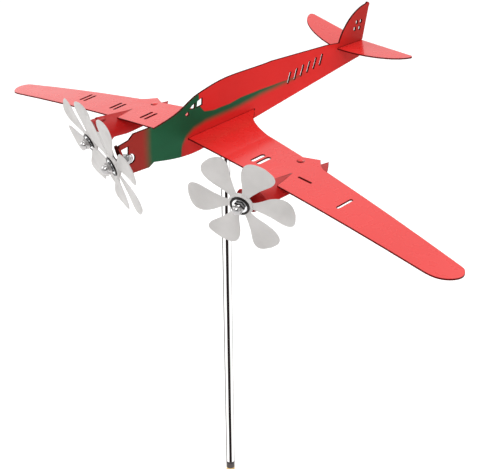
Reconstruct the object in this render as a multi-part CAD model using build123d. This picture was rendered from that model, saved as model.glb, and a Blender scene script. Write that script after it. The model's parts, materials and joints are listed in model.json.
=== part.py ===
"""Three-engined aeroplane wind spinner on a turning pole.

Millimetres, +Z up, nose towards -Y, port wing towards +X.  The row's origin is the mouth of the
threaded socket at the pole's foot.  The aeroplane is drawn about the point where the pole's axis
meets the wing root, and is lifted to AIRCRAFT_HEIGHT when it is written.
"""
from build123d import *
from math import cos, radians, sin, tan
import os

# ---- driving dimensions ----
AIRCRAFT_HEIGHT = 446.0      # wing root above the pole's foot
PLATE = 2.0                  # fuselage plate thickness
SHEET = 1.5                  # wing, tailplane and cowl sheet
FIT = 0.1                    # slot clearance on each side of a sheet

HALF_SPAN = 329.0
ROOT_LEAD = -48.5            # wing root, leading and trailing edge
ROOT_TRAIL = 40.0
WING_INCIDENCE = 5.7         # degrees, leading edge low
WING_RISE = 0.7              # wing middle plane above the reference point
BEND_X = 52.0                # longitudinal bend between inner and outer panel

COWL_X = 122.0
COWL_CREST = -11.75          # crest height at y = 0
COWL_SLOPE = 3.0             # degrees, crest falls towards the tail
CHEEK_BACK = -67.0           # where the mouth's web meets the outer wall
CHEEK_FOOT = -33.4
RIVET_X = 111.5
RIVET_Y = -4.0
RIVET_R = 2.0
RIVET_HEAD_R = 4.0
RIVET_DROP = 8.42            # wing's fall below its root at the rivet, and its slope there
RIVET_SLOPE = 3.53
EAR_DEPTH = 4.5              # wing sheet and cowl ear together

PROP_R = 52.7
BLADES = 6
BLADE_PITCH = 2.5
BLADE_SHEET = 1.2
HUB_R = 12.0

BEARING_R = 9.5              # 6 x 19 x 6 bearing
BEARING_BORE_R = 3.0
BEARING_W = 6.0
AXLE_R = 3.0
BALLS = 7
BALL_R = 1.75
BALL_PITCH_R = 6.25

POLE_R = 5.0
POLE_BORE_R = 4.0
POLE_TOP = -24.0
POLE_FOOT = -425.0
SPINDLE_R = 2.5
RUNNING = 0.05               # radial clearance of a running fit
SOCKET_R = 2.5               # tapped socket in the foot

# Each propeller: middle of its bearing, how far the axle turns outboard and dips, blade phase,
# and the length of the spacer between the engine tab and the bearing.
# tab gives the engine tab's lower and upper end, counted along the tab from the axle.
STATIONS = {
    "nose": dict(hub=(-4.3, -135.6, -9.2), toe=-12.5, dip=15.5, phase=17.0, spacer=5.0, tab=(-12.0, 16.5)),
    "port": dict(hub=(118.5, -86.0, -23.8), toe=23.0, dip=15.8, phase=0.0, spacer=5.0, tab=(-13.0, 9.5)),
    "starboard": dict(hub=(-119.2, -83.2, -31.2), toe=-8.0, dip=18.0, phase=15.0, spacer=6.0,
                      tab=(-9.5, 20.0)),
}
TAB = 2.0                    # engine tab thickness
TAB_WIDTH = 13.0
NUT_ROOM = 6.15               # radius kept clear around a rear nut


# ---- helpers ----
def side_shape(points, thickness, at_x=0.0):
    """A plate in the YZ plane from a closed outline of (y, z) points."""
    wire = Polyline(*[(at_x, y, z) for y, z in points], close=True)
    return extrude(make_face(wire), amount=thickness / 2, dir=(1, 0, 0), both=True)


def side_face(edges, thickness, at_x=0.0):
    """The same from a list of edges drawn in YZ."""
    return extrude(make_face(edges), amount=thickness / 2, dir=(1, 0, 0), both=True)


def yz(points, at_x=0.0):
    return [(at_x, y, z) for y, z in points]


def slot_through(width, length, centre, angle=0.0, depth=60.0):
    """A round-ended slot cutter along Z, its long side along Y before turning."""
    cutter = extrude(SlotOverall(length, width, rotation=90 + angle), amount=depth, both=True)
    return Pos(*centre) * cutter


def side_slot(width, length, y, z, angle=0.0):
    """A round-ended slot cutter along X, its long side at angle above +Y."""
    sketch = Plane.YZ * (Pos(y, z) * SlotOverall(length, width, rotation=angle))
    return extrude(sketch, amount=10, both=True)


def station_plane(name, offset=0.0):
    """Plane across a propeller's axle, normal forward, offset from the bearing's middle."""
    data = STATIONS[name]
    toe = radians(data["toe"])
    dip = radians(data["dip"])
    normal = Vector(sin(toe) * cos(dip), -cos(toe) * cos(dip), -sin(dip))
    across = Vector(cos(toe), sin(toe), 0)
    return Plane(origin=Vector(*data["hub"]) + normal * offset, x_dir=across, z_dir=normal)


def ring(outer, inner, height):
    """A ring centred on the local axis, from z = 0 to height."""
    body = Cylinder(outer, height, align=(Align.CENTER, Align.CENTER, Align.MIN))
    return body - Cylinder(inner, 3 * height)


# ---- sheets ----
def bent_sheet(profile_top, y_from, y_to):
    """A sheet extruded along Y whose top line in XZ is the given list of edges."""
    lower = [edge.moved(Location((0, 0, -SHEET))) for edge in profile_top]
    first = profile_top[0] @ 0
    last = profile_top[-1] @ 1
    drop = Vector(0, 0, -SHEET)
    ends = [Line(first, first + drop), Line(last, last + drop)]
    face = make_face(profile_top + lower + ends)
    return Pos(0, y_from, 0) * extrude(face, amount=y_to - y_from, dir=(0, 1, 0))


def wing_profile():
    """Top line of the wing: two flat inner panels, then outer panels that curve down."""
    half = SHEET / 2
    bend_z = -5.2 + half
    tip_x = HALF_SPAN + 5
    edges = []
    for side in (-1, 1):
        bend = Vector(side * BEND_X, 0, bend_z)
        mid = Vector(side * 192, 0, -14.2 + half)
        tip = Vector(side * tip_x, 0, -28.4 + half)
        inner = Line((0, 0, half), bend)
        outer = ThreePointArc(bend, mid, tip)
        edges.append((inner, outer))
    (left_in, left_out), (right_in, right_out) = edges
    return [
        ThreePointArc(left_out @ 1, left_out @ 0.5, left_out @ 0),
        Line(left_in @ 1, left_in @ 0),
        right_in,
        right_out,
    ]


def wing_plan():
    """Plan of the whole wing, made of one half and its mirror image."""
    lead = Polyline((0, ROOT_LEAD), (BEND_X, -47.0), (302, -57.5))
    tip = Spline((302, -57.5), (318, -55.0), (327.5, -46.0), (HALF_SPAN, -38.5), (325.5, -32.5),
                 (316, -29.6), tangents=((1, -0.03), (-1, 0.17)))
    trail = Polyline((316, -29.6), (143, -1.5))
    lobe = Spline((143, -1.5), (137.2, 0.0), (132.4, 3.0), (127.3, 7.3), (124.0, 10.8))
    inner = Polyline((124.0, 10.8), (107.8, 3.6), (50, 12.0))
    fillet_curve = Spline((50, 12.0), (30, 17.6), (14, 26.6), (5.5, 36.0), (0, ROOT_TRAIL))
    half = make_face([lead, tip, trail, lobe, inner, fillet_curve, Line((0, ROOT_TRAIL), (0, ROOT_LEAD))])
    return half + mirror(half, Plane.YZ)


def wing_cutouts():
    """Plain slots and windows where the real object carries markings."""
    cuts = []
    for x in (77.5, 85.5):
        cuts.append(slot_through(5.0, 17, (x, -26.5, 0)))
    cuts.append(slot_through(2.4, 17, (139.5, -26, 0), angle=90))
    cuts.append(slot_through(3.4, 20, (193, -30.5, 0)))
    for centre in (-87.5, -142.5, -199.5):
        for offset in (-5.5, 2.0):
            cuts.append(slot_through(3.4, 18, (centre + offset, -28.5, 0), angle=4))
    return cuts


def wing_blank():
    """The bent sheet before its outline is cut."""
    return Pos(0, 0, WING_RISE) * Rot(WING_INCIDENCE, 0, 0) * bent_sheet(wing_profile(), -75, 60)


def make_wing():
    sheet = wing_blank() & extrude(wing_plan(), amount=80, both=True)
    for cut in wing_cutouts():
        sheet -= cut
    for side in (-1, 1):
        sheet -= cowl_blank(side, filled=True, grow=0.15)
        sheet -= rivet_seat(side) * Cylinder(RIVET_R, 40)
    return sheet


def tailplane_plan():
    half = make_face([
        Spline((0, 163.5), (27, 165.5), (44, 170.5), (58, 177.5), (69, 187), (74.5, 196.5)),
        ThreePointArc((74.5, 196.5), (74, 200.3), (70, 201.6)),
        Polyline((70, 201.6), (0, 202.3), (0, 163.5)),
    ])
    return half + mirror(half, Plane.YZ)


TAIL_INCIDENCE = 2.5
TAIL_RISE = 43.6
TAIL_PORT_DROP = 2.0
TAIL_STARBOARD_RISE = 12.0


def make_tailplane():
    """Tail sheet with one bend on the fuselage: port half a little low, starboard half raised."""
    reach = 85
    left = Vector(-reach, 0, reach * tan(radians(TAIL_STARBOARD_RISE)) + SHEET / 2)
    right = Vector(reach, 0, -reach * tan(radians(TAIL_PORT_DROP)) + SHEET / 2)
    middle = Vector(0, 0, SHEET / 2)
    sheet = bent_sheet([Line(left, middle), Line(middle, right)], -10, 60)
    sheet = Pos(0, 164, TAIL_RISE) * Rot(TAIL_INCIDENCE, 0, 0) * sheet
    return sheet & extrude(tailplane_plan(), amount=90, both=True)


# ---- fuselage ----
def fuselage_outline():
    nose = yz([(-131.6, 5.6), (-131.6, 10.6), (-120.2, 13.2), (-114.3, 18.4), (-93.4, 19.6), (-91.0, 17.0)])
    canopy = yz([(-91.0, 17.0), (-76.0, 20.6), (-57.0, 27.2), (-40.0, 36.4), (-26.9, 40.8), (-4.2, 46.2),
                 (21.4, 48.6), (65.5, 50.8)])
    back = yz([(65.5, 50.8), (148.0, 50.8), (165.8, 49.4)])
    fin_lead = yz([(165.8, 49.4), (172.0, 61.5), (180.5, 71.5), (192.0, 80.0), (207.0, 85.4)])
    fin_tip = yz([(207.0, 85.4), (211.4, 86.2), (211.2, 82.0)])
    tail = yz([(211.2, 82.0), (202.6, 44.6), (200.4, 32.0)])
    heel = yz([(200.4, 32.0), (199.2, 28.8), (195.0, 27.4)])
    belly = yz([(195.0, 27.4), (-30.0, -19.0)])
    chin = yz([(-30.0, -19.0), (-46.0, -20.8), (-61.0, -20.6), (-80.0, -18.4), (-92.0, -16.4)])
    jaw = yz([(-92.0, -16.4), (-98.0, -20.2), (-120.0, -20.6), (-121.6, -10.4), (-118.8, -10.4)])
    notch = yz([(-118.8, -10.4), (-113.9, -5.5), (-118.8, -0.6)])
    throat = yz([(-118.8, -0.6), (-121.4, -0.6), (-120.9, 7.6), (-131.6, 5.6)])
    return [
        Polyline(*nose),
        Spline(*canopy),
        Polyline(*back),
        Spline(*fin_lead),
        ThreePointArc(*fin_tip),
        Polyline(*tail),
        ThreePointArc(*heel),
        Polyline(*belly),
        Spline(*chin),
        Polyline(*jaw),
        ThreePointArc(*notch),
        Polyline(*throat),
    ]


def fuselage_cutouts():
    """Cockpit windows, and plain slots where the real object carries lettering."""
    windows = [
        [(-35.6, 31.8), (-29.2, 34.0), (-29.6, 26.6), (-37.2, 25.0)],
        [(-38.2, 31.0), (-42.4, 28.9), (-46.2, 25.6), (-39.6, 25.0)],
        [(-47.6, 24.0), (-51.6, 21.6), (-49.4, 19.0), (-46.4, 20.4)],
    ]
    cuts = [side_shape(window, 10) for window in windows]
    for step in range(6):
        cuts.append(side_slot(2.6, 13, 90 + 9.5 * step, 27.5 + 1.9 * step, angle=70))
    for y, z in ((190.0, 60.5), (197.5, 60.5), (193.0, 67.5), (199.5, 67.5)):
        cuts.append(side_slot(3.2, 4.6, y, z, angle=80))
    return cuts


def engine_tab(name):
    """The bent tab that carries one axle: a round-ended plate across the axle."""
    data = STATIONS[name]
    plane = station_plane(name, -(BEARING_W / 2 + data["spacer"] + TAB / 2))
    low, high = data["tab"]
    sketch = Pos(0, (high + low) / 2) * RectangleRounded(TAB_WIDTH, high - low, TAB_WIDTH * 0.35)
    tab = plane * extrude(sketch, amount=TAB / 2, both=True)
    return tab, plane


def nut_clearance(name):
    """Room for the rear nut and washer behind an engine tab."""
    length = 13.0
    room = Cylinder(NUT_ROOM, length, align=(Align.CENTER, Align.CENTER, Align.MIN))
    return station_plane(name, tab_back(name) - length) * room


def make_fuselage():
    plate = side_face(fuselage_outline(), PLATE)
    for cut in fuselage_cutouts():
        plate -= cut
    wing_slot = Box(3 * PLATE, ROOT_TRAIL - ROOT_LEAD + 1.5, SHEET + 0.3 + 2 * FIT)
    middle = (ROOT_TRAIL + ROOT_LEAD) / 2
    plate -= Pos(0, 0, WING_RISE - 0.1) * Rot(WING_INCIDENCE, 0, 0) * Pos(0, middle, 0) * wing_slot
    tail_slot = Box(3 * PLATE, 60, SHEET + 0.3 + 2 * FIT)
    plate -= Pos(0, 164, TAIL_RISE + 0.05) * Rot(TAIL_INCIDENCE, 0, 0) * Pos(0, 30 - 0.7, 0) * tail_slot
    for side in (-1, 1):
        plate -= Pos(0, side * MAST_SCREW_Y, MAST_SCREW_Z) * Rot(0, 90, 0) * Cylinder(MAST_SCREW_R, 40)
    plate -= nut_clearance("nose")
    tab, plane = engine_tab("nose")
    return plate + tab - plane * Cylinder(AXLE_R, 3 * TAB)


# ---- engine cowls ----
def cowl_section(inset):
    """Closed folded arch in XZ, its fold at the origin, drawn inset from the cowl's outer face."""
    half = [(0.0, 0.0), (7.0, -4.9), (11.5, -10.0), (14.7, -15.5), (15.6, -26.0)]
    inward = [(0.0, -1.22), (-0.6, -0.8), (-0.78, -0.62), (-0.93, -0.37), (-1.0, -0.6)]
    right = [(x + inset * a, z + inset * b) for (x, z), (a, b) in zip(half, inward)]
    slope = ((1, 0, -0.62), (0, 0, -1))
    falling = Spline(*[(x, 0, z) for x, z in right], tangents=slope)
    rising = Spline(*[(-x, 0, z) for x, z in right], tangents=((-1, 0, -0.62), (0, 0, -1)))
    return make_face([falling, rising, Line(falling @ 1, rising @ 1)])


def cowl_trim(side):
    """Side views that trim the arch: the wall next to the fuselage is the deeper one."""
    front = [(-74.0, 2.0), (-72.4, -10.0)]
    tail = [(13.5, -18.5), (25.0, -12.6), (25.0, 2.0)]
    inner = [(-65.8, -31.4), (-62.0, -28.4), (-44.0, -28.8), (-10.0, -25.0)]
    outer = [(-68.0, -23.4), (-42.0, -22.2), (0.0, -21.4)]
    reach = 30.0
    deep = side_shape(front + inner + tail, reach, at_x=side * (COWL_X - reach / 2))
    shallow = side_shape(front + outer + tail, reach, at_x=side * (COWL_X + reach / 2))
    return deep + shallow


def cowl_blank(side, filled=False, grow=0.0):
    """The arch along the cowl's length; filled and grown, it cuts the wing's slot."""
    length = 110
    outer = cowl_section(-grow)
    solid = Pos(0, -80, 0) * extrude(outer, amount=length, dir=(0, 1, 0))
    if not filled:
        inner = cowl_section(SHEET)
        solid -= Pos(0, -85, 0) * extrude(inner, amount=length + 10, dir=(0, 1, 0))
    solid = Pos(side * COWL_X, 0, COWL_CREST) * Rot(-COWL_SLOPE, 0, 0) * solid
    return solid if filled else solid & cowl_trim(side)


def crest_height(y):
    return COWL_CREST - y * tan(radians(COWL_SLOPE))


def rivet_seat(side):
    """Place of a cowl rivet: origin on the wing's top face, +Z out of the face."""
    place = Pos(side * RIVET_X, RIVET_Y, SHEET / 2 - RIVET_DROP)
    return Pos(0, 0, WING_RISE) * Rot(WING_INCIDENCE, 0, 0) * place * Rot(0, side * RIVET_SLOPE, 0)


def cowl_ear(side):
    """Small flange under the wing that takes the cowl's rivet."""
    height = EAR_DEPTH - SHEET / 2
    ear = rivet_seat(side) * Pos(side * 3.5, 0, height / 2 - EAR_DEPTH) * Box(22, 13, height)
    return ear - wing_blank()


def cowl_neck(name, side):
    """Strip from the cowl's crest forward to the middle of its engine tab."""
    tab, plane = engine_tab(name)
    top = plane.from_local_coords(Vector(0, STATIONS[name]["tab"][1] - 2.5, 0))
    back = -65.0
    crest = crest_height(back) - 1.0
    strip = side_shape([
        (back, crest),
        (top.Y - 4, top.Z + 1.0),
        (top.Y - 4, top.Z - 0.8),
        (back, crest - 1.8),
    ], 9, at_x=(side * COWL_X + top.X) / 2)
    return strip - plane * Pos(0, 0, 20) * Box(60, 60, 40)


def cowl_cheek(name, side):
    """Web across the outboard half of the arch's mouth, from the engine tab to the outer wall."""
    tab, plane = engine_tab(name)
    start = plane.from_local_coords(Vector(side * (TAB_WIDTH / 2 - 0.5), 0, 0))
    end = Vector(side * (COWL_X + 16.0), CHEEK_BACK, start.Z)
    run = (end - start).normalized()
    reach = (end - start).length
    web = Plane(origin=(start.X, start.Y, 0), x_dir=run, z_dir=Vector(run.Y, -run.X, 0))
    outline = [(-1.5, -12.0), (-1.5, CHEEK_FOOT), (3.0, CHEEK_FOOT), (reach + 3, -24.0), (reach + 3, -4.0)]
    sheet = web * extrude(make_face(Polyline(*outline, close=True)), amount=SHEET / 2, both=True)
    return sheet & cowl_blank(side, filled=True)


def make_cowl(name, side):
    tab, plane = engine_tab(name)
    shell = cowl_blank(side) + cowl_ear(side) + cowl_neck(name, side) + cowl_cheek(name, side)
    shell = shell - nut_clearance(name) + tab
    shell -= plane * Cylinder(AXLE_R, 3 * TAB)
    return shell - rivet_seat(side) * Cylinder(RIVET_R, 40)


def make_cowl_rivets():
    """Two round-headed rivets through the wing and the cowl ears."""
    down = (Align.CENTER, Align.CENTER, Align.MAX)
    head_height = 1.3
    dome_r = (RIVET_HEAD_R ** 2 + head_height ** 2) / (2 * head_height)
    rivets = []
    for side in (-1, 1):
        head = Pos(0, 0, head_height - dome_r) * Sphere(dome_r) & Pos(0, 0, 10) * Box(20, 20, 20)
        shank = Cylinder(RIVET_R, EAR_DEPTH, align=down)
        tail = Pos(0, 0, -EAR_DEPTH) * Cylinder(RIVET_HEAD_R * 0.8, 1.4, align=down)
        rivets.append(rivet_seat(side) * (head + shank + tail))
    return Compound(rivets)


# ---- propellers ----
def blade():
    """One flat paddle blade along local +X, fuller on its clockwise side, pitched about its length."""
    leading = [(9.0, 3.4), (15.2, 4.7), (21.3, 7.5), (27.4, 10.9), (33.5, 13.4), (39.6, 14.6), (44.7, 13.8),
               (48.7, 11.0), (51.6, 6.0), (PROP_R, -2.0)]
    trailing = [(PROP_R, -2.0), (51.4, -11.2), (48.7, -15.0), (44.7, -16.2), (39.6, -15.2), (33.5, -12.2),
                (27.4, -9.1), (21.3, -6.7), (15.2, -4.5), (9.0, -3.4)]
    upper = Spline(*leading, tangents=((1, 0.15), (0, -1)))
    lower = Spline(*trailing, tangents=((0, -1), (-1, 0.15)))
    face = make_face([upper, lower, Line(lower @ 1, upper @ 0)])
    return Rot(BLADE_PITCH, 0, 0) * extrude(face, amount=BLADE_SHEET / 2, both=True)


def make_propeller(name):
    """Six blades on a turned ring that the bearing is pressed into."""
    hub = Pos(0, 0, -BEARING_W / 2) * ring(HUB_R, BEARING_R - 1, BEARING_W)
    body = hub
    for step in range(BLADES):
        angle = STATIONS[name]["phase"] + step * 360 / BLADES
        body += Rot(0, 0, angle) * blade()
    body -= Cylinder(BEARING_R, 2 * BEARING_W)
    return station_plane(name) * body


def race_groove():
    return Torus(BALL_PITCH_R, BALL_R + 0.05)


def make_outer_race(name):
    race = Pos(0, 0, -BEARING_W / 2) * ring(BEARING_R, 7.4, BEARING_W)
    return station_plane(name) * (race - race_groove())


def make_inner_race(name):
    race = Pos(0, 0, -BEARING_W / 2) * ring(5.1, BEARING_BORE_R, BEARING_W)
    return station_plane(name) * (race - race_groove())


def make_bearing_balls(name):
    balls = []
    for step in range(BALLS):
        balls.append(Rot(0, 0, step * 360 / BALLS) * Pos(BALL_PITCH_R, 0, 0) * Sphere(BALL_R))
    return station_plane(name) * Compound(balls)


def make_bearing_shields(name):
    shields = []
    for z in (-2.8, 2.4):
        shields.append(Pos(0, 0, z) * ring(7.35, 5.4, 0.4))
    return station_plane(name) * Compound(shields)


# ---- axle hardware, drawn on the bearing's middle plane ----
def hexagon(across_flats, height):
    return extrude(RegularPolygon(across_flats / 2, 6, major_radius=False), amount=height)


NUT_HEIGHT = 4.0
DOME_START = 4.6
DOME_R = 4.6


def dome_nut(depth):
    """Closed dome nut, its flat face at z = 0 and its dome towards +Z."""
    up = (Align.CENTER, Align.CENTER, Align.MIN)
    collar = DOME_START - NUT_HEIGHT
    nut = hexagon(10.0, NUT_HEIGHT) & Cone(7.4, DOME_R, NUT_HEIGHT + 0.6, align=up)
    nut += Pos(0, 0, NUT_HEIGHT) * Cylinder(DOME_R, collar, align=up)
    nut += Pos(0, 0, DOME_START) * (Sphere(DOME_R) & Pos(0, 0, 5) * Box(12, 12, 10))
    return nut - Cylinder(AXLE_R, depth, align=up)


def tab_back(name):
    """Local z of the engine tab's rear face."""
    return -(BEARING_W / 2 + STATIONS[name]["spacer"] + TAB)


def make_axle(name):
    low = tab_back(name) - 1.0 - 6.0
    high = BEARING_W / 2 + 1.0 + 6.0
    stud = Pos(0, 0, low) * Cylinder(AXLE_R, high - low, align=(Align.CENTER, Align.CENTER, Align.MIN))
    return station_plane(name) * stud


def make_spacer(name):
    spacer = Pos(0, 0, -BEARING_W / 2 - STATIONS[name]["spacer"]) * ring(4.5, AXLE_R, STATIONS[name]["spacer"])
    return station_plane(name) * spacer


def make_washers(name):
    front = Pos(0, 0, BEARING_W / 2) * ring(5.0, AXLE_R, 1.0)
    back = Pos(0, 0, tab_back(name) - 1.0) * ring(6.0, AXLE_R, 1.0)
    return station_plane(name) * Compound([front, back])


def make_front_nut(name):
    return station_plane(name) * Pos(0, 0, BEARING_W / 2 + 1.0) * dome_nut(6.0)


def make_rear_nut(name):
    return station_plane(name) * Pos(0, 0, tab_back(name) - 1.0) * Rot(180, 0, 0) * dome_nut(6.0)


# ---- pole and its turning joint ----
BLOCK_TOP = -4.2
BLOCK_FOOT = -21.0
SPINDLE_FOOT = -70.0
MAST_SCREW_R = 1.5
MAST_SCREW_Y = 4.6
MAST_SCREW_Z = -8.4


def make_mast_block():
    """Slotted block under the wing: it straddles the fuselage plate and holds the spindle."""
    height = BLOCK_TOP - BLOCK_FOOT
    block = Pos(0, 0, BLOCK_FOOT) * extrude(RectangleRounded(12, 18, 3), amount=height)
    block -= Box(PLATE + 2 * FIT, 30, 2 * 14.8)
    block -= Pos(0, 0, BLOCK_FOOT) * Cylinder(SPINDLE_R, 2 * 5.0)
    for side in (-1, 1):
        block -= Pos(0, side * MAST_SCREW_Y, MAST_SCREW_Z) * Rot(0, 90, 0) * Cylinder(MAST_SCREW_R, 40)
    return block


def make_spindle():
    height = BLOCK_FOOT + 5.0 - SPINDLE_FOOT
    return Pos(0, 0, SPINDLE_FOOT) * Cylinder(SPINDLE_R, height, align=(Align.CENTER, Align.CENTER, Align.MIN))


def make_mast_screws():
    screws = []
    for side in (-1, 1):
        shank = Cylinder(MAST_SCREW_R, 15.4, align=(Align.CENTER, Align.CENTER, Align.MAX))
        head = Cylinder(2.8, 2.4, align=(Align.CENTER, Align.CENTER, Align.MIN))
        socket = Pos(0, 0, 1.2) * hexagon(2.5, 3)
        screw = shank + (head - socket)
        screws.append(Pos(6.0, side * MAST_SCREW_Y, MAST_SCREW_Z) * Rot(0, 90, 0) * screw)
    return Compound(screws)


def make_mast_nuts():
    nuts = []
    for side in (-1, 1):
        nut = hexagon(5.5, 2.4) - Cylinder(MAST_SCREW_R, 20)
        nuts.append(Pos(-6.0, side * MAST_SCREW_Y, MAST_SCREW_Z) * Rot(0, -90, 0) * nut)
    return Compound(nuts)


def make_thrust_washer():
    return Pos(0, 0, BLOCK_FOOT - 1.0) * ring(4.8, SPINDLE_R + RUNNING, 1.0)


def make_upper_bush():
    """Flanged bronze bush in the pole's mouth."""
    flange = Pos(0, 0, POLE_TOP) * ring(4.5, SPINDLE_R + RUNNING, 1.4)
    sleeve = Pos(0, 0, POLE_TOP - 12) * ring(POLE_BORE_R, SPINDLE_R + RUNNING, 12)
    return flange + sleeve


def make_lower_bush():
    return Pos(0, 0, -66) * ring(POLE_BORE_R, SPINDLE_R + RUNNING, 12)


def make_thrust_ball():
    return Pos(0, 0, SPINDLE_FOOT - 2.0 - RUNNING) * Sphere(2.0)


def make_ball_seat():
    """Plug in the bore with a dimple for the thrust ball."""
    seat = Pos(0, 0, -88) * Cylinder(POLE_BORE_R, 14.6, align=(Align.CENTER, Align.CENTER, Align.MIN))
    return seat - Pos(0, 0, SPINDLE_FOOT - 2.0 - RUNNING) * Sphere(2.02)


def make_pole_tube():
    return Pos(0, 0, POLE_FOOT) * ring(POLE_R, POLE_BORE_R, POLE_TOP - POLE_FOOT)


def make_pole_ferrule():
    """Rolled ring at the foot of the tube with a narrow groove above it."""
    body = Pos(0, 0, -434) * ring(POLE_R, POLE_BORE_R, 7.4)
    neck = Pos(0, 0, -426.6) * ring(4.6, POLE_BORE_R, 1.6)
    return body + neck


def make_foot_coupling():
    """Brass spigot pressed in the tube, with a tapped socket for the next pole section."""
    spigot = Pos(0, 0, -434) * Cylinder(POLE_BORE_R, 26, align=(Align.CENTER, Align.CENTER, Align.MIN))
    collar = Pos(0, 0, -AIRCRAFT_HEIGHT) * Cylinder(POLE_R, 12, align=(Align.CENTER, Align.CENTER, Align.MIN))
    socket = Pos(0, 0, -AIRCRAFT_HEIGHT) * Cylinder(SOCKET_R, 2 * 14)
    return spigot + collar - socket


def build():
    nodes = {
        "pole_tube": make_pole_tube(),
        "pole_ferrule": make_pole_ferrule(),
        "foot_coupling": make_foot_coupling(),
        "ball_seat": make_ball_seat(),
        "thrust_ball": make_thrust_ball(),
        "lower_bush": make_lower_bush(),
        "upper_bush": make_upper_bush(),
        "spindle": make_spindle(),
        "thrust_washer": make_thrust_washer(),
        "mast_block": make_mast_block(),
        "mast_screws": make_mast_screws(),
        "mast_nuts": make_mast_nuts(),
        "fuselage": make_fuselage(),
        "wing": make_wing(),
        "tailplane": make_tailplane(),
        "port_cowl": make_cowl("port", 1),
        "starboard_cowl": make_cowl("starboard", -1),
        "cowl_rivets": make_cowl_rivets(),
    }
    for name in STATIONS:
        nodes[name + "_propeller"] = make_propeller(name)
        nodes[name + "_outer_race"] = make_outer_race(name)
        nodes[name + "_bearing_balls"] = make_bearing_balls(name)
        nodes[name + "_bearing_shields"] = make_bearing_shields(name)
        nodes[name + "_inner_race"] = make_inner_race(name)
        nodes[name + "_axle"] = make_axle(name)
        nodes[name + "_spacer"] = make_spacer(name)
        nodes[name + "_washers"] = make_washers(name)
        nodes[name + "_front_nut"] = make_front_nut(name)
        nodes[name + "_rear_nut"] = make_rear_nut(name)
    return nodes


def main():
    os.makedirs("parts", exist_ok=True)
    for name, shape in build().items():
        export_step(Pos(0, 0, AIRCRAFT_HEIGHT) * shape, "parts/" + name + ".step")


main()
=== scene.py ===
"""Looks for the aeroplane wind spinner: paint, metals, formed propellers, studio and camera."""
import json
from math import cos, pi, radians, sin

import bmesh
import bpy
from mathutils import Matrix, Vector


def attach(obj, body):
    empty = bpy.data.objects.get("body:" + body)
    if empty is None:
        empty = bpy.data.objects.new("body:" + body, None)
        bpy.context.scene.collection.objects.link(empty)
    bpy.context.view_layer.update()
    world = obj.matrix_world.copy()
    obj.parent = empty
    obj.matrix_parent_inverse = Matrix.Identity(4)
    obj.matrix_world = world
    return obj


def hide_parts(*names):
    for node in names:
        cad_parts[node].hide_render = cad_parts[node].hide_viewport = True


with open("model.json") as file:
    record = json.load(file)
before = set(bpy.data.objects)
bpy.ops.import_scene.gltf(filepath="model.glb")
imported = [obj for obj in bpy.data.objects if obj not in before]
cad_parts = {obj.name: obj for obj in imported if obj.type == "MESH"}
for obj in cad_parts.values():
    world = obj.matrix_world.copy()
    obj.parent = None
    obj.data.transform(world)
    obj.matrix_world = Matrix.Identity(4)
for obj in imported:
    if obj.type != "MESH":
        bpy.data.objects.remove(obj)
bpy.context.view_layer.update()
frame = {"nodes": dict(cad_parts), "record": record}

MM = 0.001
WING_ROOT = 0.446            # height of the wing root above the pole's foot
STATIONS = ("nose", "port", "starboard")
EDGE_ROUND = 0.2 * MM        # width of the small rounding on a cut edge
EDGE_ANGLE = 35              # degrees; only corners sharper than this are rounded


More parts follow.
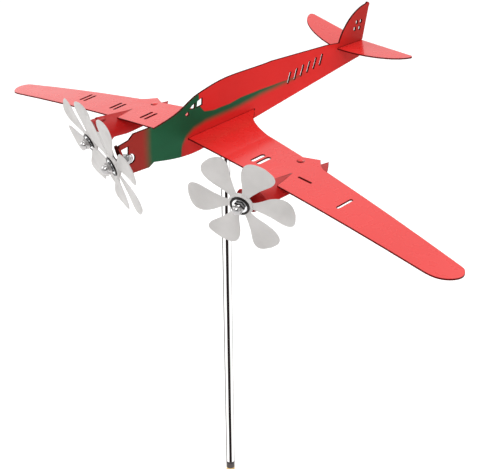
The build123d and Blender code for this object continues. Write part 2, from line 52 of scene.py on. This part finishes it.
# ---- node helpers ----
class Shader:
    """A material under construction: adds nodes and links with few words."""

    def __init__(self, name):
        self.material = bpy.data.materials.new(name)
        self.material.use_nodes = True
        self.tree = self.material.node_tree
        self.tree.nodes.clear()
        self.out = self.tree.nodes.new("ShaderNodeOutputMaterial")
        self.surface = self.tree.nodes.new("ShaderNodeBsdfPrincipled")
        self.link(self.surface.outputs["BSDF"], self.out.inputs["Surface"])
        coords = self.tree.nodes.new("ShaderNodeTexCoord")
        self.place = coords.outputs["Object"]
        self.facing = coords.outputs["Normal"]

    def link(self, source, target):
        self.tree.links.new(source, target)

    def put(self, value, target):
        """Links a socket, or sets a plain value."""
        if isinstance(value, bpy.types.NodeSocket):
            self.link(value, target)
        else:
            target.default_value = value

    def math(self, kind, a, b=0.0):
        """One arithmetic step on two sockets or plain values."""
        node = self.tree.nodes.new("ShaderNodeMath")
        node.operation = kind
        self.put(a, node.inputs[0])
        self.put(b, node.inputs[1])
        return node.outputs[0]

    def split(self, vector):
        """The X, Y and Z of a vector."""
        node = self.tree.nodes.new("ShaderNodeSeparateXYZ")
        self.link(vector, node.inputs[0])
        return node.outputs["X"], node.outputs["Y"], node.outputs["Z"]

    def scaled(self, x, y, z):
        """The place stretched along each axis, for streaked noise."""
        node = self.tree.nodes.new("ShaderNodeMapping")
        self.link(self.place, node.inputs["Vector"])
        node.inputs["Scale"].default_value = (x, y, z)
        return node.outputs["Vector"]

    def noise(self, scale, detail=3.0, where=None):
        node = self.tree.nodes.new("ShaderNodeTexNoise")
        node.inputs["Scale"].default_value = scale
        node.inputs["Detail"].default_value = detail
        self.link(where or self.place, node.inputs["Vector"])
        return node.outputs["Fac"]

    def remap(self, value, low, high, to_low=0.0, to_high=1.0, smooth=False):
        node = self.tree.nodes.new("ShaderNodeMapRange")
        node.interpolation_type = "SMOOTHSTEP" if smooth else "LINEAR"
        self.put(value, node.inputs["Value"])
        self.put(low, node.inputs["From Min"])
        self.put(high, node.inputs["From Max"])
        self.put(to_low, node.inputs["To Min"])
        self.put(to_high, node.inputs["To Max"])
        return node.outputs["Result"]

    def mix(self, factor, a, b):
        node = self.tree.nodes.new("ShaderNodeMix")
        node.data_type = "RGBA"
        self.put(factor, node.inputs[0])
        for value, slot in ((a, 6), (b, 7)):
            self.put(value if isinstance(value, bpy.types.NodeSocket) else (*value, 1.0), node.inputs[slot])
        return node.outputs[2]

    def curve(self, value, points):
        """Height of a line drawn through (place, height) points in mm, for a place along the fuselage."""
        front, back = STRIPE_SPAN
        node = self.tree.nodes.new("ShaderNodeFloatCurve")
        line = node.mapping.curves[0]
        while len(line.points) < len(points):
            line.points.new(0.5, 0.5)
        for knot, (place, height) in zip(line.points, points):
            knot.location = ((place - front) / (back - front), height / (2 * STRIPE_REACH) + 0.5)
            knot.handle_type = "VECTOR"
        node.mapping.update()
        self.put(self.remap(value, front * MM, back * MM), node.inputs["Value"])
        return self.remap(node.outputs["Value"], 0.0, 1.0, -STRIPE_REACH * MM, STRIPE_REACH * MM)

    def rim(self):
        """1 along the sharp edges of a part, out to about the rim's width, and 0 elsewhere."""
        rounded = self.tree.nodes.new("ShaderNodeBevel")
        rounded.samples = 8
        rounded.inputs["Radius"].default_value = RIM
        true = self.tree.nodes.new("ShaderNodeNewGeometry")
        dot = self.tree.nodes.new("ShaderNodeVectorMath")
        dot.operation = "DOT_PRODUCT"
        self.link(rounded.outputs["Normal"], dot.inputs[0])
        self.link(true.outputs["True Normal"], dot.inputs[1])
        return self.remap(dot.outputs["Value"], 0.82, 0.97, 1.0, 0.0)

    def bump(self, height, strength, distance):
        node = self.tree.nodes.new("ShaderNodeBump")
        node.inputs["Strength"].default_value = strength
        node.inputs["Distance"].default_value = distance
        self.link(height, node.inputs["Height"])
        self.link(node.outputs["Normal"], self.surface.inputs["Normal"])

    def set(self, name, value):
        target = self.surface.inputs[name]
        if isinstance(value, tuple):
            value = (*value, 1.0)
        self.put(value, target)


def cover(node, material):
    """Gives a carried-over CAD node one material."""
    part = frame["nodes"][node]
    part.data.materials.clear()
    part.data.materials.append(material)
    return part


def soften(part):
    """Small rounded edges that catch the light."""
    bevel = part.modifiers.new("edge", "BEVEL")
    bevel.width = EDGE_ROUND
    bevel.segments = 2
    bevel.limit_method = "ANGLE"
    bevel.angle_limit = radians(EDGE_ANGLE)


# ---- paint ----
RED = (0.60, 0.016, 0.014)
DEEP_RED = (0.33, 0.010, 0.010)
COWL_RED = (0.44, 0.011, 0.010)
DULL_RED = (0.22, 0.020, 0.014)
GREEN = (0.008, 0.085, 0.035)
DEEP_GREEN = (0.007, 0.060, 0.026)
# the next two are painted shade: the dark of the cut edges and of the line beside them, on the sheets and
# on the fuselage, cowls and rivets
EDGE_SHADE_RED = (0.09, 0.004, 0.004)
EDGE_SHADE_DARK = (0.045, 0.006, 0.005)
RIM = 0.9 * MM               # width of the painted shade line along a laser-cut edge
STRIPE_SPAN = (-140, 240)    # stretch of the fuselage that the stripe's lines are drawn over
STRIPE_REACH = 80            # and the greatest height above or below the root that they may have
# the green stripe's upper and lower lines: distance behind the wing root, height above it
STRIPE_TOP = [(-140, 80), (-36, 80), (-33, 26), (-27, 19.5), (-14, 18), (6, 19.5), (21, 22.5), (47, 24),
              (85, 25.5), (130, 31), (240, 50)]
STRIPE_FOOT = [(-140, -80), (-60, -80), (-58, -12), (-52, -3), (-42, 3.5), (-27, 7.5), (-7, 9.5),
               (18, 12), (47, 17.5), (85, 22), (130, 30), (240, 50)]
# where sprayed colours fade into each other, and where the painted shade below the wing root starts: mm
# behind the wing root, or above it
GREEN_STARTS = (-106, -92)
GREEN_ENDS = (90, 125)
DULL_NOSE_ENDS = (-70, -40)
DULL_TAIL_STARTS = (150, 200)
BELLY_SHADE = (4, -12)
TOP_FADE = (-0.6, 1.2)
FOOT_FADE = (-3.5, 5)
SPRAY_DRIFT = 4              # how far the gun wandered
# painted shadow of the wing on the cowls: mm along the cowl where it starts and where it is full
COWL_WING_SHADOW = (-62, -30)


def spray_bump(shader):
    """Fine orange peel of sprayed paint over faint sheet waviness."""
    peel = shader.noise(900, detail=2.0)
    waves = shader.noise(26, detail=1.0)
    height = shader.math("ADD", shader.math("MULTIPLY", peel, 0.12), waves)
    shader.bump(height, 0.35, 0.4 * MM)


def gloss_paint(shader, color, shaded_rim, roughness=0.26, coat=0.6, sheen=0.5):
    """Sprayed gloss over the color; the last argument is the share of it, along cut edges, where shade is
    painted dark and the gloss is left off.
    """
    unshaded = shader.math("SUBTRACT", 1.0, shaded_rim)
    dust = shader.noise(60, detail=4.0)
    shader.set("Base Color", color)
    shader.set("Roughness", shader.remap(dust, 0.3, 0.7, roughness - 0.05, roughness + 0.08))
    shader.set("Coat Weight", shader.math("MULTIPLY", unshaded, coat))
    shader.set("Specular IOR Level", shader.math("MULTIPLY", unshaded, sheen))
    shader.set("Coat Roughness", 0.12)
    shader.set("Specular Tint", (1.0, 0.90, 0.86))
    spray_bump(shader)
    return shader.material


def edge_faces(shader, sheet_normal):
    """1 on the cut edges of a sheet whose faces look along sheet_normal, and 0 on those faces."""
    facing = shader.split(shader.facing)["XYZ".index(sheet_normal)]
    return shader.remap(shader.math("ABSOLUTE", facing), 0.45, 0.75, 1.0, 0.0)


def fade(shader, where, stretch, start=0.0, end=1.0):
    """Smooth change from start to end over a stretch given in mm."""
    return shader.remap(where, stretch[0] * MM, stretch[1] * MM, start, end, smooth=True)


def sheet_red(name, coat, sheen):
    """Red paint on a sheet that lies flat, with painted shade darkening its cut edges."""
    shader = Shader(name)
    mottled = shader.mix(shader.remap(shader.noise(9, detail=3.0), 0.35, 0.7), RED, DEEP_RED)
    light = shader.mix(0.16, RED, mottled)
    # painted shade: cut edges and a thin line beside them painted dark
    edge = edge_faces(shader, "Z")
    shaded_rim = shader.math("MAXIMUM", edge, shader.math("MULTIPLY", shader.rim(), 0.85))
    return gloss_paint(shader, shader.mix(shaded_rim, light, EDGE_SHADE_RED), shaded_rim, coat=coat, sheen=sheen)


def cowl_paint():
    """Deeper red of the engine cowls, with the wing's shadow painted in, darker towards the back."""
    shader = Shader("cowl_spray")
    along = shader.split(shader.place)[1]
    cloud = shader.noise(30, detail=3.0)
    bright = shader.mix(shader.remap(cloud, 0.3, 0.7), COWL_RED, DEEP_RED)
    # painted shadow: the cowl is painted darker towards the back, where the wing shades it
    back = fade(shader, along, COWL_WING_SHADOW, 0.0, 0.75)
    # painted shade: a dark line along the cowl's edges
    shaded_rim = shader.math("MULTIPLY", shader.rim(), 0.85)
    color = shader.mix(shaded_rim, shader.mix(back, bright, DEEP_RED), EDGE_SHADE_DARK)
    return gloss_paint(shader, color, shaded_rim, roughness=0.32, coat=0.08, sheen=0.15)


def rivet_paint():
    """Red rivet heads, with painted shade as a dark line round them where they slope away from the top."""
    shader = Shader("rivet_spray")
    up = shader.split(shader.facing)[2]
    # painted shade: darker where the head's surface turns away from straight up
    shaded_rim = shader.remap(up, 0.80, 0.93, 1.0, 0.0)
    return gloss_paint(shader, shader.mix(shaded_rim, RED, EDGE_SHADE_DARK), shaded_rim, coat=0.5)


def fuselage_paint():
    """Red plate with a sprayed green nose that tapers into a stripe along the side."""
    shader = Shader("fuselage_spray")
    _, y, z = shader.split(shader.place)
    wander = shader.math("SUBTRACT", shader.noise(22, detail=3.0), 0.5)
    drift = shader.math("MULTIPLY", wander, SPRAY_DRIFT * MM)
    along = shader.math("ADD", y, drift)
    height = shader.math("ADD", shader.math("SUBTRACT", z, WING_ROOT), drift)

    top = shader.curve(along, STRIPE_TOP)
    foot = shader.curve(along, STRIPE_FOOT)
    below_top = fade(shader, shader.math("SUBTRACT", top, height), TOP_FADE)
    above_foot = fade(shader, shader.math("SUBTRACT", height, foot), FOOT_FADE)
    nose_end = fade(shader, along, GREEN_STARTS)
    tail_end = fade(shader, along, GREEN_ENDS, 1.0, 0.0)
    green = shader.math("MULTIPLY", shader.math("MULTIPLY", below_top, above_foot),
                        shader.math("MULTIPLY", nose_end, tail_end))

    cloud = shader.remap(shader.noise(14, detail=3.0), 0.35, 0.7)
    red = shader.mix(shader.math("MULTIPLY", cloud, 0.22), RED, DEEP_RED)
    dull_nose = fade(shader, along, DULL_NOSE_ENDS, 0.85, 0.0)
    dull_tail = fade(shader, along, DULL_TAIL_STARTS, 0.0, 0.55)
    # painted shade: the red is darker below the wing root, where the wing shades the fuselage
    red = shader.mix(fade(shader, height, BELLY_SHADE, 0.0, 0.35), red, DEEP_RED)
    red = shader.mix(shader.math("MAXIMUM", dull_nose, dull_tail), red, DULL_RED)
    deep_green = shader.mix(cloud, GREEN, DEEP_GREEN)
    # painted shade: cut edges and a thin line beside them painted dark
    shaded_rim = shader.math("MAXIMUM", edge_faces(shader, "X"), shader.math("MULTIPLY", shader.rim(), 0.9))
    color = shader.mix(shaded_rim, shader.mix(green, red, deep_green), EDGE_SHADE_DARK)
    return gloss_paint(shader, color, shaded_rim, roughness=0.40, coat=0.03, sheen=0.08)


# ---- metals ----
MARK_DEPTH = 0.02 * MM
REFLECTION_BANDS = 5               # painted reflection: light and dark bands round the tube
REFLECTION_PHASE = 0.96            # radians; where the painted reflection's bands start round the tube


def metal(name, color, roughness, grain=(300, 300, 300)):
    """Bare metal with fine turning or drawing marks."""
    shader = Shader(name)
    marks = shader.noise(1.0, detail=4.0, where=shader.scaled(*grain))
    dull = shader.noise(120, detail=3.0)
    tint = shader.mix(shader.remap(dull, 0.3, 0.75), color, tuple(0.80 * c for c in color))
    shader.set("Base Color", tint)
    shader.set("Metallic", 1.0)
    shader.set("Roughness", shader.remap(marks, 0.3, 0.7, roughness, roughness + 0.06))
    shader.bump(marks, 0.25, MARK_DEPTH)
    return shader.material


def reflection_banded_tube():
    """Polished tube with long light and dark bands of painted reflection in its base colour."""
    shader = Shader("polished_tube")
    x, y, _ = shader.split(shader.place)
    around = shader.math("ARCTAN2", y, x)
    drift = shader.noise(1.0, detail=2.0, where=shader.scaled(120, 120, 1.6))
    fine = shader.noise(1.0, detail=4.0, where=shader.scaled(1500, 1500, 4))
    # painted reflection: dark and light bands round the tube, put into its base colour
    bands = shader.math("MULTIPLY", around, REFLECTION_BANDS)
    phase = shader.math("ADD", bands, shader.math("MULTIPLY", drift, 1.4))
    wave = shader.math("SINE", shader.math("ADD", phase, REFLECTION_PHASE))
    reflection_streak = shader.math("ADD", wave, shader.math("MULTIPLY", shader.math("SUBTRACT", fine, 0.5), 0.8))
    shade = shader.remap(reflection_streak, -0.45, 0.30, smooth=True)
    shader.set("Base Color", shader.mix(shade, (0.012, 0.008, 0.008), (0.92, 0.91, 0.91)))
    shader.set("Metallic", 1.0)
    shader.set("Roughness", shader.remap(fine, 0.3, 0.7, 0.10, 0.20))
    shader.bump(fine, 0.2, MARK_DEPTH)
    return shader.material


def rubber_seal():
    """Dull black, for the washers."""
    shader = Shader("black_seal")
    grain = shader.noise(700, detail=3.0)
    shader.set("Base Color", shader.mix(grain, (0.012, 0.012, 0.012), (0.03, 0.03, 0.03)))
    shader.set("Roughness", 0.55)
    shader.bump(grain, 0.3, 0.03 * MM)
    return shader.material


def propeller_grey():
    """Matt light-grey blades with faint handling marks."""
    shader = Shader("propeller_grey")
    cloud = shader.noise(35, detail=4.0)
    fine = shader.noise(600, detail=2.0)
    tint = shader.mix(shader.remap(cloud, 0.3, 0.75), (0.45, 0.435, 0.425), (0.37, 0.355, 0.345))
    shader.set("Base Color", tint)
    shader.set("Roughness", shader.remap(cloud, 0.3, 0.7, 0.42, 0.55))
    shader.set("Specular IOR Level", 0.45)
    shader.bump(fine, 0.15, 0.06 * MM)
    return shader.material


# ---- propellers ----
PROP_R = 52.7                # mm, as are all the propeller's sizes
BORE_R = 9.5
HUB_R = 12.0
HUB_HALF = 1.4               # half thickness of the hub's disc
LIP = 1.8                    # height of the lip round its bore, from the disc's middle
PITCH = 1.0                  # degrees
BLADE_HALF = 0.48            # half thickness of a blade away from its rims
BLADE_COUNT = 6
PHASE = {"nose": 17.0, "port": 0.0, "starboard": 15.0}
# the two sides of a blade: distance from the axle, distance from the blade's middle line
LEADING_SIDE = [(9.5, 3.4), (15.2, 4.7), (21.3, 7.5), (27.4, 10.9), (33.5, 13.4), (39.6, 14.6),
                (44.7, 13.8), (48.7, 11.0), (51.4, 6.0), (PROP_R, -2.0)]
TRAILING_SIDE = [(9.5, -3.4), (15.2, -4.5), (21.3, -6.7), (27.4, -9.1), (33.5, -12.2), (39.6, -15.2),
                 (44.7, -16.2), (48.7, -15.0), (51.4, -11.0), (PROP_R, -2.0)]
LATHE_STEPS = 64


def along_side(points, share):
    """Point at a share of the way along a blade's side, by a Catmull-Rom curve."""
    last = len(points) - 1
    place = share * last
    i = min(int(place), last - 1)
    t = place - i
    spread = [points[max(i - 1, 0)], points[i], points[i + 1], points[min(i + 2, last)]]
    found = []
    for p, q, r, s in zip(*spread):
        curve = 2 * q + (r - p) * t + (2 * p - 5 * q + 4 * r - s) * t * t + (3 * q - p - 3 * r + s) * t ** 3
        found.append(0.5 * curve)
    return found


def station_matrix(name):
    """Local axes of a propeller: +Z forward along its axle, origin in the bearing's middle."""
    joint = next(j for j in frame["record"]["behaviour"]["joints"] if j["name"] == name + "_propeller_spin")
    forward = Vector(joint["axis"]).normalized()
    across = Vector((-forward.y, forward.x, 0)).normalized()
    up = forward.cross(across)
    turn = Matrix((across, up, forward)).transposed().to_4x4()
    return Matrix.Translation(joint["pos_m"]) @ turn


def add_blade(mesh, angle):
    """One pressed blade: paddle outline and a shallow cup, with rounded rims."""
    rows = 30
    columns = 12
    turn = Matrix.Rotation(angle, 4, "Z")
    pitch = radians(PITCH)
    grid = {}
    for i in range(rows + 1):
        share = 1 - (1 - i / rows) ** 1.6
        leading = along_side(LEADING_SIDE, share)
        trailing = along_side(TRAILING_SIDE, share)
        for j in range(columns + 1):
            s = -cos(pi * j / columns)
            r = trailing[0] + (leading[0] - trailing[0]) * (1 + s) / 2
            v = trailing[1] + (leading[1] - trailing[1]) * (1 + s) / 2
            cup = 0.9 * (v / 15) ** 2 * share - 0.6 * share * share
            rim = max(1 - abs(s) ** 8, 0.0) * max(1 - share ** 30, 0.0)
            thick = BLADE_HALF * (0.35 + 0.65 * rim)
            for side in (1, -1):
                w = cup + side * thick
                local = Vector((r, v * cos(pitch) - w * sin(pitch), v * sin(pitch) + w * cos(pitch)))
                grid[i, j, side] = mesh.verts.new(turn @ local * MM)
    for i in range(rows):
        for j in range(columns):
            for side in (1, -1):
                mesh.faces.new([grid[i, j, side], grid[i + 1, j, side],
                                grid[i + 1, j + 1, side], grid[i, j + 1, side]])
    for i in range(rows):
        for j in (0, columns):
            mesh.faces.new([grid[i, j, 1], grid[i, j, -1], grid[i + 1, j, -1], grid[i + 1, j, 1]])
    for j in range(columns):
        for i in (0, rows):
            mesh.faces.new([grid[i, j, 1], grid[i, j + 1, 1], grid[i, j + 1, -1], grid[i, j, -1]])


def add_lathe(mesh, profile):
    """Closed ring of revolution about local Z from (radius, height) points."""
    rings = []
    for k in range(LATHE_STEPS):
        a = 2 * pi * k / LATHE_STEPS
        rings.append([mesh.verts.new(Vector((r * cos(a), r * sin(a), z)) * MM) for r, z in profile])
    count = len(profile)
    for k in range(LATHE_STEPS):
        here = rings[k]
        there = rings[(k + 1) % LATHE_STEPS]
        for p in range(count):
            q = (p + 1) % count
            mesh.faces.new([here[p], there[p], there[q], here[q]])


def make_piece(name, mesh, material, body, matrix):
    """A finished piece that rides on a body, its place baked into its vertices."""
    bmesh.ops.remove_doubles(mesh, verts=mesh.verts, dist=1e-6)
    bmesh.ops.dissolve_degenerate(mesh, edges=mesh.edges, dist=1e-7)
    bmesh.ops.recalc_face_normals(mesh, faces=mesh.faces)
    data = bpy.data.meshes.new(name)
    mesh.to_mesh(data)
    mesh.free()
    data.transform(matrix)
    for face in data.polygons:
        face.use_smooth = True
    data.materials.append(material)
    piece = bpy.data.objects.new(name, data)
    bpy.context.collection.objects.link(piece)
    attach(piece, body)
    return piece


def build_propeller(name, grey):
    """Blades and hub disc of one propeller, in place of the plain one."""
    matrix = station_matrix(name)
    mesh = bmesh.new()
    for k in range(BLADE_COUNT):
        add_blade(mesh, radians(PHASE[name] + 360 / BLADE_COUNT * k))
    blades = make_piece(name + "_blades", mesh, grey, name + "_spinner", matrix)
    mesh = bmesh.new()
    inside = BORE_R + 0.02
    add_lathe(mesh, [(inside, -HUB_HALF), (HUB_R - 0.4, -HUB_HALF), (HUB_R, 0.4 - HUB_HALF),
                     (HUB_R, HUB_HALF - 0.4), (HUB_R - 0.4, HUB_HALF), (BORE_R + 0.4, LIP), (inside, LIP)])
    hub = make_piece(name + "_hub_ring", mesh, grey, name + "_spinner", matrix)
    soften(hub)
    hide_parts(name + "_propeller")
    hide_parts(name + "_propeller")


# ---- carried-over parts ----
def finish_cad_parts():
    """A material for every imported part, and rounded edges on the sheets and cowls."""
    wing = cover("wing", sheet_red("wing_spray", coat=0.5, sheen=0.4))
    tail = cover("tailplane", sheet_red("tail_spray", coat=0.4, sheen=0.35))
    body = cover("fuselage", fuselage_paint())
    for part in (wing, tail, body):
        soften(part)
    cowl = cowl_paint()
    for side in ("port", "starboard"):
        soften(cover(side + "_cowl", cowl))
    cover("cowl_rivets", rivet_paint())

    bright = metal("polished_steel", (0.80, 0.80, 0.81), 0.10)
    plated = metal("plated_steel", (0.46, 0.45, 0.45), 0.12)
    ground = metal("ground_steel", (0.62, 0.62, 0.63), 0.24)
    cover("pole_tube", reflection_banded_tube())
    cover("pole_ferrule", metal("turned_steel", (0.09, 0.08, 0.08), 0.25, grain=(40, 40, 2500)))
    cover("foot_coupling", metal("turned_brass", (0.66, 0.46, 0.20), 0.25, grain=(40, 40, 2500)))
    cover("ball_seat", metal("plain_brass", (0.62, 0.43, 0.18), 0.35))
    bronze = metal("sintered_bronze", (0.50, 0.33, 0.16), 0.42, grain=(900, 900, 900))
    cover("lower_bush", bronze)
    cover("upper_bush", bronze)
    cover("mast_block", metal("machined_steel", (0.55, 0.55, 0.56), 0.32, grain=(60, 60, 2200)))
    seal = rubber_seal()
    blackened = metal("blackened_steel", (0.030, 0.028, 0.027), 0.30)
    for node in ("thrust_ball", "spindle", "thrust_washer", "mast_screws", "mast_nuts"):
        cover(node, bright)
    for name in STATIONS:
        cover(name + "_outer_race", blackened)
        for piece in ("inner_race", "spacer"):
            cover(name + "_" + piece, ground)
        cover(name + "_washers", seal)
        for piece in ("bearing_balls", "bearing_shields", "axle"):
            cover(name + "_" + piece, bright)
        for piece in ("front_nut", "rear_nut"):
            cover(name + "_" + piece, plated)
        cover(name + "_propeller", ground)


# ---- studio ----
SKY_BRIGHT = 1.06
PATCH_DARK = 0.15
PATCH_AIM = (0.60, -0.54, 0.59)
PATCH_EDGE = (0.78, 0.93)    # cosine from the patch's middle, where it starts and is full
CAMERA_TURN = 48.026         # degrees, from +X to the camera's right
CAMERA_ROLL = -0.585         # degrees
CAMERA_FROM = (0.66623, -0.59933, 0.44378)    # direction from the object to the camera
CAMERA_PLACE = (0.752765, -0.656642, 0.368524 + WING_ROOT)
LENS = 78.27
SENSOR = 36


def studio():
    """Pale floor, sky and three soft lights."""
    bpy.ops.mesh.primitive_plane_add(size=30, location=(0, 0, -0.0005))
    floor = bpy.context.object
    floor.name = "floor"
    shader = Shader("pale_floor")
    shader.set("Base Color", (0.96, 0.96, 0.96))
    shader.set("Roughness", 0.9)
    floor.data.materials.append(shader.material)

    studio_sky()
    add_light("key", (0.9, -1.3, 2.1), 1.3, 30)
    add_light("left_fill", (-1.9, -1.0, 1.5), 1.6, 16)
    add_light("back", (0.2, 2.0, 2.0), 1.8, 18)


def studio_sky():
    """White surround with one dark patch high up, so that the metal has something to reflect."""
    world = bpy.data.worlds.new("studio")
    bpy.context.scene.world = world
    world.use_nodes = True
    tree = world.node_tree
    background = tree.nodes["Background"]
    coords = tree.nodes.new("ShaderNodeTexCoord")
    aim = tree.nodes.new("ShaderNodeVectorMath")
    aim.operation = "DOT_PRODUCT"
    tree.links.new(coords.outputs["Generated"], aim.inputs[0])
    aim.inputs[1].default_value = PATCH_AIM
    ramp = tree.nodes.new("ShaderNodeMapRange")
    ramp.interpolation_type = "SMOOTHSTEP"
    ramp.inputs["From Min"].default_value, ramp.inputs["From Max"].default_value = PATCH_EDGE
    ramp.inputs["To Min"].default_value = SKY_BRIGHT
    ramp.inputs["To Max"].default_value = PATCH_DARK
    tree.links.new(aim.outputs["Value"], ramp.inputs["Value"])
    tree.links.new(ramp.outputs["Result"], background.inputs["Strength"])
    background.inputs["Color"].default_value = (1, 1, 1, 1)


def add_light(name, place, size, power):
    """A round soft light, aimed at the wing root."""
    data = bpy.data.lights.new(name, "AREA")
    data.shape = "DISK"
    data.size = size
    data.energy = power
    lamp = bpy.data.objects.new(name, data)
    bpy.context.collection.objects.link(lamp)
    lamp.location = place
    aim = Vector((0, 0, WING_ROOT)) - Vector(place)
    lamp.rotation_euler = aim.to_track_quat("-Z", "Y").to_euler()


def camera():
    """Long lens, looking down from the port bow."""
    azimuth = radians(CAMERA_TURN)
    roll = radians(CAMERA_ROLL)
    toward = Vector(CAMERA_FROM).normalized()
    right = Vector((cos(azimuth), sin(azimuth), 0))
    up = toward.cross(right)
    tilted_right = cos(roll) * right + sin(roll) * up
    tilted_up = cos(roll) * up - sin(roll) * right
    data = bpy.data.cameras.new("camera")
    data.lens = LENS
    data.sensor_width = SENSOR
    data.clip_start = 0.01
    lens = bpy.data.objects.new("camera", data)
    bpy.context.collection.objects.link(lens)
    turn = Matrix((tilted_right, tilted_up, toward)).transposed().to_4x4()
    lens.matrix_world = Matrix.Translation(CAMERA_PLACE) @ turn
    bpy.context.scene.camera = lens


finish_cad_parts()
grey = propeller_grey()
for name in STATIONS:
    build_propeller(name, grey)
studio()
camera()
bpy.context.scene.view_settings.view_transform = "Standard"
